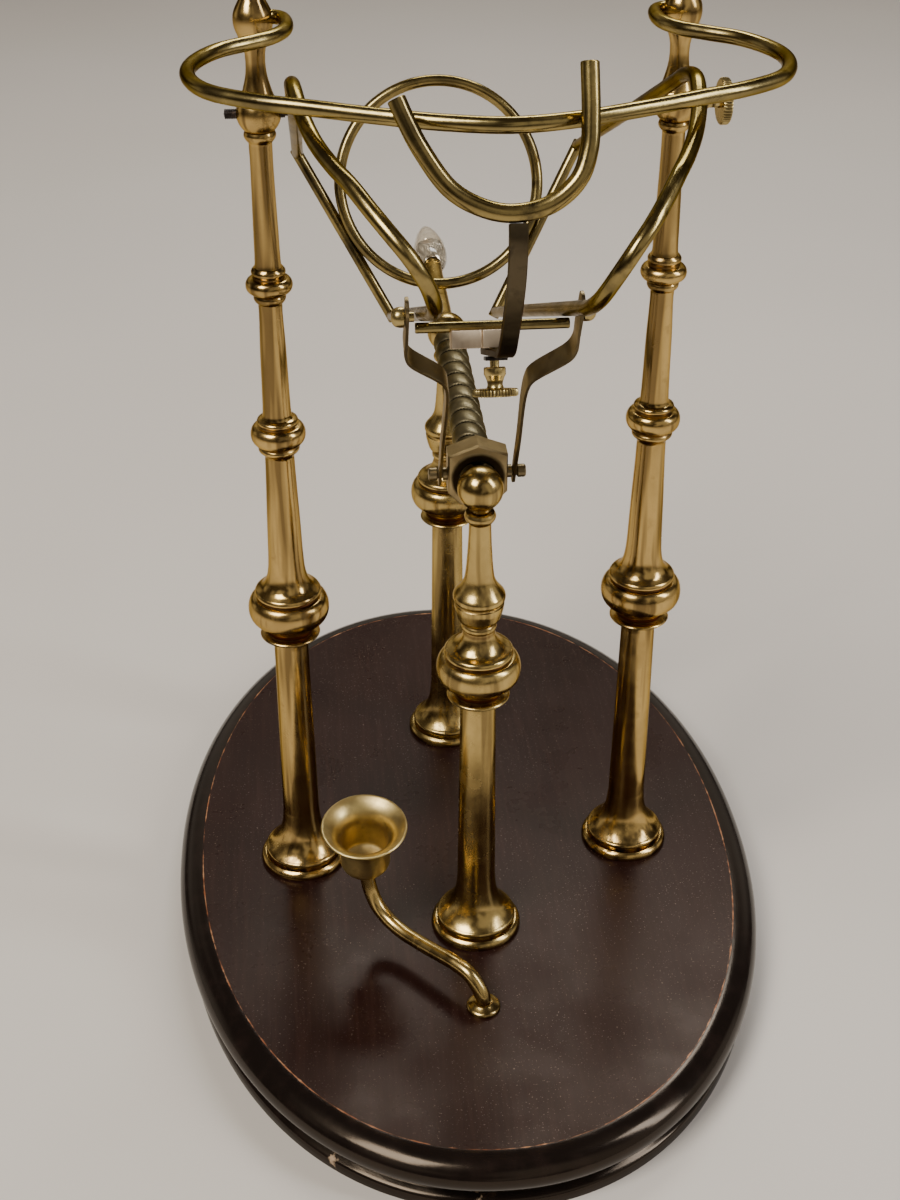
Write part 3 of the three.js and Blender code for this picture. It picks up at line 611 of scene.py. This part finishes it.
SHORT_UPPER = profile([(0, 143.0), (12.7, 143.0)], [(12.7, 143.0), (12.2, 143.3), (10.2, 144.2),
    (8.0, 146.4), (6.6, 149), (6.0, 151.6)],
                      [(6.0, 151.8), (6.7, 152.8), (6.7, 154.2), (6.0, 155.2)],
                          [(5.9, 155.4), (7.4, 156.2), (8.2, 157.4)],
                      [(8.2, 157.4), (8.8, 159.6), (9.4, 162), (9.6, 163.9)],
                          [(9.2, 164.2), (9.2, 164.8)],
                      [(9.4, 165), (10.0, 166.2), (9.9, 167.8), (8.8, 169.4), (7.4, 171.2),
                          (6.0, 174), (5.3, 178), (4.6, 187), (4.2, 196), (4.2, 198.6)],
                      [(4.3, 198.8), (5.4, 200), (5.9, 201.6), (5.3, 203.2)], [(5.3, 203.2), (0, 203.6)])


def ball(centre, radius):
    return profile([(0, 203.7), (3.6, 203.7)], [(3.6, 203.7), (4.2, 204.6)],
        arc(radius, centre, -64, 90, 40))


def posts():
    for name, foot in POSTS.items():
        where = at(foot.x, foot.y, BASE_TOP)
        tall = name.endswith("column")
        metal = TURNED_BRASS if tall else SHORT_BRASS
        parts = {"foot": FOOT, "shaft": SHAFT, "knop": KNOP}
        if tall:
            parts.update(middle=MIDDLE, upper=UPPER, pivot_stem=PIVOT_STEM, finial=FINIAL)
        else:
            parts.update(upper=SHORT_UPPER, ball=ball(SCREW_Z - BASE_TOP, 8.5))
        for part, outline in parts.items():
            stands_for(turned(f"{name}_{part}_shape", outline, where, 96), f"{name}_{part}", metal)
        frame["nodes"][f"{name}_bolt"].data.materials.clear()
        frame["nodes"][f"{name}_bolt"].data.materials.append(DARK_STEEL)


# ---- wires -------------------------------------------------------------------------------------
BOW_HALF = [(69.2, 0), (66, 0), (63.4, 2.2), (62, 8), (62.6, 18), (67.2, 27), (73.7, 33), (84, 42),
    (91, 57),
            (91.4, 71), (85.4, 86), (72, 97), (56, 105), (38, 114), (18, 122.4)]
BOW_FRONT = 126


def bow():
    right = [(x, -ahead, 0) for x, ahead in BOW_HALF]
    left = [(-x, -ahead, 0) for x, ahead in reversed(BOW_HALF)]
    line = spline([*right, (0, -BOW_FRONT, 0), *left])
    shape = swept("bow_shape", line, circle(WIRE_R), reference=(0, 0, 1), matrix=at(0, PIVOT.y, BOW_Z))
    stands_for(shape, "bow", BOW_BRASS)


RAIL_X, LOWER_X, LOWER_Z = 60.8, 23.0, -70.2
RAIL_REAR = 146.8
ARM = [(60.8, 70, 0), (60.2, 88, -3.6), (58.3, 99.6, -12.2), (55, 109.4, -21), (50.6, 118.6, -28.4),
       (45.6, 127.4, -35), (40.8, 133.4, -42), (36, 137.6, -48.6), (31, 139.4, -55.2),
           (26.8, 136.4, -61.6),
       (23.8, 126, -67.6), (23, 107.7, LOWER_Z)]


def cradle_sides():
    joint = RAIL_REAR - WIRE_R - 0.15
    for word, side in (("left", -1), ("right", 1)):
        upper = [(side * RAIL_X, joint - (joint + 60) * i / 40, 0) for i in range(41)]
        lower = [(side * LOWER_X, -100 + (joint + 100) * i / 40, LOWER_Z) for i in range(41)]
        bend = spline([upper[-1], *[(side * x, -ahead, z) for x, ahead, z in ARM], lower[0]])
        line = [*upper[:-1], *bend, *lower[1:]]
        shape = swept(f"cradle_side_{word}_shape", line, circle(WIRE_R), matrix=CRADLE)
        stands_for(shape, f"cradle_side_{word}", WIRE_BRASS)
        top, foot = Vector((side * RAIL_X, RAIL_REAR, 0)), Vector((side * LOWER_X, RAIL_REAR, LOWER_Z))
        along = (foot - top).normalized()
        ends = (top - along * WIRE_R, foot + along * WIRE_R)
        line = [ends[0].lerp(ends[1], i / 40) for i in range(41)]
        bar = swept(f"rear_bar_{word}_shape", line, circle(WIRE_R), reference=(0, 1, 0), matrix=CRADLE)
        stands_for(bar, f"rear_bar_{word}", WIRE_BRASS)


RING_R = 42.9
RING_MIDDLE = (-0.4, -14.3)


def bottle_ring():
    turn = [2 * math.pi * i / 220 for i in range(220)]
    x, z = RING_MIDDLE
    line = [(x + RING_R * math.cos(a), RAIL_REAR - 3.7, z + RING_R * math.sin(a)) for a in turn]
    shape = swept("bottle_ring_shape", line, circle(WIRE_R), closed=True, reference=(0, 1, 0),
        matrix=CRADLE)
    stands_for(shape, "bottle_ring", WIRE_BRASS)


NECK_FRONT = 131.5
REST_BOTTOM = -43.9
REST = [(-32.5, -12.6), (-30, -18.6), (-26.3, -26), (-18.5, -37), (-10.3, -42), (-1.8, REST_BOTTOM),
        (9.1, -41.8), (17.1, -35.3), (20.1, -27.4), (20.8, -18.8), (20.8, -4)]
REST_R = 2.65
STRAP_Z = -83.1
STRAP = [(40, STRAP_Z), (58, STRAP_Z), (76, STRAP_Z), (90, STRAP_Z), (96.5, -81.4), (102.5, -77.8),
    (108.6, -73.7),
         (115.2, -69.2), (121.2, -64.4), (125.6, -59.8), (128.7, -55.2), (130.8, -50.8),
         (NECK_FRONT, REST_BOTTOM - REST_R - 0.1)]


def neck_rest():
    line = spline([(x, -NECK_FRONT, z) for x, z in REST])
    shape = swept("neck_rest_shape", line, circle(REST_R), reference=(0, 1, 0), matrix=CRADLE)
    stands_for(shape, "neck_rest", WIRE_BRASS)
    line = spline([(0, -ahead, z) for ahead, z in STRAP])
    strap = swept("neck_strap_shape", line, bar_section(2.7, 1.1, 0.3), matrix=CRADLE)
    stands_for(strap, "neck_strap", STRAP_BRONZE)


# ---- clamp under the cradle --------------------------------------------------------------------
ROD_AHEAD = 58
ROD_Z = -74.7


def clamp():
    line = [(-25.3 + 50 * i / 40, -ROD_AHEAD, ROD_Z) for i in range(41)]
    rod = swept("cross_rod_shape", line, circle(1.75), reference=(0, 1, 0), matrix=CRADLE)
    stands_for(rod, "cross_rod", BOW_BRASS)
    here = CRADLE @ at(0, -ROD_AHEAD, 0)
    plan = [(-14, 4), (-14, -4.4), (-4.3, -4.4), (-4.3, -8), (6, -8), (6, 4)]
    stands_for(prism("clamp_block_shape", plan, -81.7, -75.9, here, edge=0.3), "clamp_block", CLAMP_METAL)
    plate = [(-3.2, 3.6), (-3.2, -3.6), (4.0, -3.6), (4.0, 3.6)]
    stands_for(prism("lock_plate_shape", plate, -85.8, -84.5, here, edge=0.25), "lock_plate", DARK_STEEL)
    outline = profile([(0, -97.4), (6.9, -97.4)], [(6.9, -97.4), (7.4, -97.1), (7.5, -96.8)],
        [(7.5, -96.8), (7.5, -95.5)],
                      [(7.5, -95.5), (7.3, -95.1), (6.8, -94.9)], [(6.8, -94.9), (3.0, -94.7)],
                      [(2.8, -94.6), (2.5, -93.8), (2.6, -92.6), (3.1, -91.2), (3.6, -90.3)],
                      [(3.6, -90.3), (3.6, -88.3)], [(3.6, -88.3), (3.3, -87.9)],
                          [(3.3, -87.9), (1.5, -87.9)],
                      [(1.5, -87.9), (1.5, -79.1)], [(1.5, -79.1), (0, -79.1)])
    screw = turned("clamp_screw_shape", outline, here, 160, flutes=40, flute_depth=0.45, flute_r=7.0)
    stands_for(screw, "clamp_screw", SMALL_BRASS)


def pivots():
    disc = profile([(0, 61.5), (1.1, 61.5)], [(1.1, 61.5), (1.1, 63.8)], [(1.75, 63.8), (1.75, 81.8)],
                   [(2.9, 81.9), (3.2, 82.4), (3.2, 83.4), (2.8, 84.0)],
                       [(2.2, 84.2), (2.1, 86), (2.3, 88.4)],
                   [(2.3, 88.5), (7.5, 88.6)], [(7.5, 88.6), (8.1, 89.1)], [(8.1, 89.1), (8.1, 91.3)],
                   [(8.1, 91.3), (7.6, 91.8)], [(7.6, 91.8), (5.6, 91.9)], [(5.4, 91.6), (0, 91.6)])
    knob = turned("pivot_thumbscrew_shape", disc, along_x(1, 0, PIVOT.y, PIVOT.z), 176, flutes=44,
                  flute_depth=0.45, flute_r=7.7)
    stands_for(knob, "pivot_thumbscrew", SMALL_BRASS)
    thread = [(1.1, 61.5), (1.1, 63.8)]
    thread += [(1.75 - 0.18 * (i % 2), 64 + 0.35 * i) for i in range(60)]
    outline = [(0, 61.5), *thread, (0, 85)]
    stub = turned("pivot_stub_shape", outline, along_x(-1, 0, PIVOT.y, PIVOT.z), 32)
    stands_for(stub, "pivot_stub", DARK_STEEL)


# ---- screw, handle, nut and links --------------------------------------------------------------
PITCH = 11.0
SCREW_R = 6.8


def lead_screw():
    """Left-handed rope-like thread: wide rounded lands and narrow grooves painted dark as shade."""
    low, high = box_mm("lead_screw")
    front, rear = POSTS["front_post"].y + 9.1, POSTS["rear_post"].y - 9.1
    sides, step = 64, 0.4
    stations = [(low.y, 3.2), (front, 3.2)]
    count = int((rear - front) / step)
    stations += [(front + (rear - front) * i / count, None) for i in range(count + 1)]
    stations += [(rear, 3.2), (high.y, 3.2)]
    vertices, dirt_and_shade = [], []
    for y, plain in stations:
        for k in range(sides):
            a = 2 * math.pi * k / sides
            turn = (a / (2 * math.pi) + (y - front) / PITCH) % 1.0
            edge = abs(turn - 0.5) * 2
            groove = max(0.0, (edge - 0.84) / 0.16)
            crown = 0.75 * min(1.0, edge / 0.84) ** 2.5
            r = plain or SCREW_R - crown - 1.0 * groove**0.6
            vertices.append((r * math.sin(a), y, r * math.cos(a)))
            # Painted shade: the thread's narrow grooves are darkened as if in shadow.
            dirt_and_shade.append(0.0 if plain else min(1.0, groove * 3.0))
    rows = len(stations)
    faces = []
    for i in range(rows - 1):
        for k in range(sides):
            n = (k + 1) % sides
            faces.append((i * sides + k, i * sides + n, (i + 1) * sides + n, (i + 1) * sides + k))
    faces += [tuple(range(sides)), tuple((rows - 1) * sides + k for k in range(sides))]
    shape = new_object("lead_screw_shape", vertices, faces, dirt_and_shade, at(0, 0, SCREW_Z), crease=60)
    stands_for(shape, "lead_screw", SCREW_METAL)


def handle():
    low, high = box_mm("handle_rod")
    line = [(0, low.y + (high.y - low.y) * i / 40, 0) for i in range(41)]
    rod = swept("handle_rod_shape", line, circle(3.8, 40), matrix=at(0, 0, SCREW_Z))
    stands_for(rod, "handle_rod", SHORT_BRASS)
    front, rear = box_mm("handle_knob")[0].y, box_mm("handle_knob")[1].y
    length = rear - front
    depth = high.y - front + 0.3
    skin = [(5.2, 0), (5.9, 0.02), (6.8, 0.08), (7.5, 0.17), (7.7, 0.29), (7.5, 0.42), (6.4, 0.60),
        (4.5, 0.79),
            (2.2, 0.94), (0.9, 0.985), (0, 1)]
    outline = profile([(0, depth), (4.1, depth)], [(4.1, depth), (4.1, 0)], [(4.1, 0), (5.2, 0)],
                      [(r, t * length) for r, t in skin])
    knob = turned("handle_knob_shape", outline, along_y(0, front, SCREW_Z),
        96, grime_and_shade=[0.0] * len(outline))
    stands_for(knob, "handle_knob", CLEAR)


NUT_OUTLINE = [(0, 13), (11, 8.8), (11, -6.6), (6.2, -11.6), (-6.2, -11.6), (-11, -6.6), (-11, 8.8)]


def nut_radius(angle):
    """How far the nut's flat-sided outline stands from its axis; the angle is from the top."""
    x, z = math.sin(angle), math.cos(angle)
    reach = 0.0
    for (x1, z1), (x2, z2) in zip(NUT_OUTLINE, NUT_OUTLINE[1:] + NUT_OUTLINE[:1]):
        across = x * (z2 - z1) - z * (x2 - x1)
        if abs(across) < 1e-9:
            continue
        t = (x1 * (z2 - z1) - z1 * (x2 - x1)) / across
        if t > 0:
            reach = t if reach == 0 else min(reach, t)
    return reach


def nut():
    """A filed block with a ridge along its top, its bore and front face painted dark as shade, and a
    bright turned bevel round the bore in front.
    """
    half_length, bore, count = 5.25, 7.15, 144
    corners = [math.atan2(x, z) % (2 * math.pi) for x, z in NUT_OUTLINE]
    between = count - len(corners)
    angles = sorted(set(corners + [2 * math.pi * k / between + 0.001 for k in range(between)]))
    rings = [(bore, -half_length + 0.5, 0), (9.2, -half_length, 0), (10.4, -half_length + 0.7, 0),
             (0.955, -half_length + 1.0, 1), (1, -half_length + 2.0, 1), (1, half_length - 0.7, 1),
             (0.95, half_length, 1), (bore, half_length, 0)]
    vertices, dirt_and_shade = [], []
    for size, y, follows in rings:
        for a in angles:
            r = size * nut_radius(a) if follows else min(size, 0.95 * nut_radius(a))
            vertices.append((r * math.sin(a), y, r * math.cos(a)))
            # Painted shade: the bore and the front face inside the bevel are darkened as if in shadow.
            dirt_and_shade.append(0.9 if size in (bore, 9.2) else 0.1)
    n = len(angles)
    faces = []
    for i in range(len(rings)):
        j = (i + 1) % len(rings)
        faces += [(i * n + k, i * n + (k + 1) % n, j * n + (k + 1) % n, j * n + k) for k in range(n)]
    shape = new_object("nut_shape", vertices, faces, dirt_and_shade, at(0, NUT_PIN.y, SCREW_Z), crease=12)
    stands_for(shape, "nut", NUT_METAL)
    pin = profile([(0, 11.1), (2.4, 11.1)], [(2.4, 11.1), (2.4, 12.7)], [(1.7, 12.7), (1.7, 14.8)],
                  [(2.1, 14.8), (2.45, 15.1)], [(2.45, 15.1), (2.45, 17.5)],
                      [(2.45, 17.5), (2.0, 18)], [(2.0, 18), (0, 18)])
    for word, side in (("left", -1), ("right", 1)):
        made = turned(f"nut_pin_{word}_shape", pin, along_x(side, 0, NUT_PIN.y, SCREW_Z), 40)
        stands_for(made, f"nut_pin_{word}", BRONZE)


def links():
    """Thin straps with a joggle: narrow at the nut, wide at the cradle, round at both ends."""
    top = middle("link_screw_right")
    rise, run = top.z - NUT_PIN.z, NUT_PIN.y - top.y
    length = math.hypot(rise, run)
    here = at(0, NUT_PIN.y, NUT_PIN.z) @ Matrix.Rotation(math.atan2(run, rise), 4, "X")
    start, end = -6.0, length + 8.0
    dome = profile([(0, 25.7), (1.6, 25.7)], [(1.6, 25.7), (1.6, 28.8)], [(2.9, 28.8), (3.3, 29.0)],
                   [(3.3, 29.0), (3.35, 30.2), (3.0, 31.6), (2.1, 32.6), (1.0, 33.0), (0, 33.05)])
    for word, side in (("left", -1), ("right", 1)):
        bends = [(13.7, start), (13.7, 20), (13.7, 56), (15.2, 61), (26.4, 72.6), (28, 77), (28, 86),
            (28, end)]
        line = spline([(side * x, 0, s) for x, s in bends], step=0.5)
        widths = []
        for p in line:
            full = 2.4 + 1.5 * min(1.0, max(0.0, p.z / 74))
            tip = min(p.z - start, end - p.z)
            round_end = math.sqrt(max(0.0, full**2 - (full - tip) ** 2)) if tip < full else full
            widths.append(max(0.35, round_end))
        strap = swept(f"link_{word}_shape", line, bar_section(1.0, 0.6, 0.12), reference=(0, 1, 0),
            widths=widths,
                      matrix=here)
        stands_for(strap, f"link_{word}", BRONZE)
        screw = turned(f"link_screw_{word}_shape", dome, here @ along_x(side, 0, 0, length), 48)
        stands_for(screw, f"link_screw_{word}", SMALL_BRASS)


# ---- candle cup --------------------------------------------------------------------------------
CANDLE_TURN = math.radians(43)
ARM_LINE = [(0, 3.5), (0.3, 5.2), (2.9, 9.3), (7.6, 13.2), (14.8, 14.2), (24.5, 13.5), (34.2, 12.8),
    (44.2, 12.7),
            (52.5, 14.4), (58.9, 18.4), (62.7, 24.3), (64.6, 31), (65.4, 36.3)]
CUP_REACH = 65.6
CUP_BOTTOM = 37


def candle():
    foot = at(CANDLE_FOOT.x, CANDLE_FOOT.y, BASE_TOP)
    flange = profile([(0, 0.1), (6.9, 0.1)], [(6.9, 0.1), (6.9, 1.0), (6.4, 1.8), (5.2, 2.3),
        (4.2, 2.8), (3.7, 3.1)],
                     [(3.7, 3.1), (0, 3.1)])
    stands_for(turned("candle_flange_shape", flange, foot), "candle_flange", SHORT_BRASS)
    line = spline([(0, y, z) for y, z in ARM_LINE], step=0.8)
    arm = swept("candle_arm_shape", line, circle(3.1, 32),
        matrix=foot @ Matrix.Rotation(CANDLE_TURN, 4, "Z"))
    stands_for(arm, "candle_arm", SHORT_BRASS)
    where = foot @ at(-CUP_REACH * math.sin(CANDLE_TURN), CUP_REACH * math.cos(CANDLE_TURN), CUP_BOTTOM)
    where = where @ Matrix.Rotation(math.radians(8), 4, "X")
    outline = profile([(0, 0), (4, 0)], [(4, 0), (7.4, 0.5), (9.5, 1.9), (10.3, 4.0), (10.4, 7)],
        [(10.4, 7), (10.4, 12.6)],
                      [(10.4, 12.6), (10.6, 14.6), (11.3, 17), (12.8, 19.8), (15.2, 22.2), (17.4, 23.6)],
                      [(17.4, 23.6), (17.6, 24.1), (17.2, 24.5), (16.7, 24.4)],
                      [(16.7, 24.4), (14.4, 23.1), (12.0, 20.9), (10.5, 18.4), (9.6, 15.6), (9.3, 12.6)],
                      [(9.3, 12.6), (9.3, 5)], [(9.3, 5), (8.6, 3.4), (6, 2.3), (0, 2)])
    # Painted shade: the floor inside the cup is darkened as if in shadow.
    dirt_and_shade = [0.55 if z < 3.5 and r < 9 and i > len(outline) // 2 else 0.1 for i,
        (r, z) in enumerate(outline)]
    shape = turned("candle_cup_shape", outline, where, 96, grime_and_shade=dirt_and_shade)
    stands_for(shape, "candle_cup", CUP_BRASS)


# ---- studio ------------------------------------------------------------------------------------
def studio():
    mesh = bpy.data.meshes.new("floor")
    reach = 6.0
    mesh.from_pydata([(-reach, -reach, 0), (reach, -reach, 0), (reach, reach, 0), (-reach, reach, 0)],
        [], [(0, 1, 2, 3)])
    floor = bpy.data.objects.new("floor", mesh)
    bpy.context.scene.collection.objects.link(floor)
    m = Nodes("floor")
    m.colour(m.mix(m.ramp(m.noise(2, 2), 0.3, 0.7), (0.66, 0.61, 0.55), (0.70, 0.65, 0.59)))
    m.shader.inputs["Roughness"].default_value = 0.7
    mesh.materials.append(m.material)

    def lamp(name, place, aim, size, watts, colour=(1, 1, 1)):
        data = bpy.data.lights.new(name, "AREA")
        data.shape = "RECTANGLE"
        data.size, data.size_y = size
        data.energy = watts
        data.color = colour
        made = bpy.data.objects.new(name, data)
        made.location = place
        made.rotation_euler = (Vector(aim) - Vector(place)).to_track_quat("-Z", "Y").to_euler()
        bpy.context.scene.collection.objects.link(made)

    lamp("key", (-0.9, -0.8, 1.7), (0, 0, 0.2), (0.8, 0.9), 34, (1.0, 0.95, 0.88))
    lamp("fill", (1.3, -0.5, 1.1), (0, 0, 0.2), (0.3, 1.0), 12, (0.97, 0.97, 1.0))
    lamp("back", (0.3, 1.2, 1.6), (0, 0, 0.2), (1.0, 0.4), 14)
    world = bpy.data.worlds.new("studio")
    bpy.context.scene.world = world
    world.use_nodes = True
    tree = world.node_tree
    direction = tree.nodes.new("ShaderNodeTexCoord").outputs["Generated"]
    panels = tree.nodes.new("ShaderNodeTexNoise")
    panels.inputs["Scale"].default_value = 1.6
    panels.inputs["Detail"].default_value = 1.0
    tree.links.new(direction, panels.inputs["Vector"])
    ramp = tree.nodes.new("ShaderNodeValToRGB")
    ramp.color_ramp.elements[0].position = 0.44
    ramp.color_ramp.elements[0].color = (0.11, 0.083, 0.058, 1)
    ramp.color_ramp.elements[1].position = 0.60
    ramp.color_ramp.elements[1].color = (0.95, 0.86, 0.72, 1)
    tree.links.new(panels.outputs["Fac"], ramp.inputs["Fac"])
    tree.links.new(ramp.outputs["Color"], tree.nodes["Background"].inputs["Color"])
    tree.nodes["Background"].inputs["Strength"].default_value = 0.5


def camera():
    data = bpy.data.cameras.new("camera")
    data.sensor_fit = "VERTICAL"
    data.sensor_height = 36
    data.lens = 50.4
    data.clip_start = 0.01
    made = bpy.data.objects.new("camera", data)
    made.location = (-0.0582, -0.5928, 0.5324)
    made.rotation_euler = (math.radians(57.26), 0, math.radians(-5.06))
    bpy.context.scene.collection.objects.link(made)
    bpy.context.scene.camera = made


base()
posts()
bow()
cradle_sides()
bottle_ring()
neck_rest()
clamp()
pivots()
lead_screw()
handle()
nut()
links()
candle()
studio()
camera()
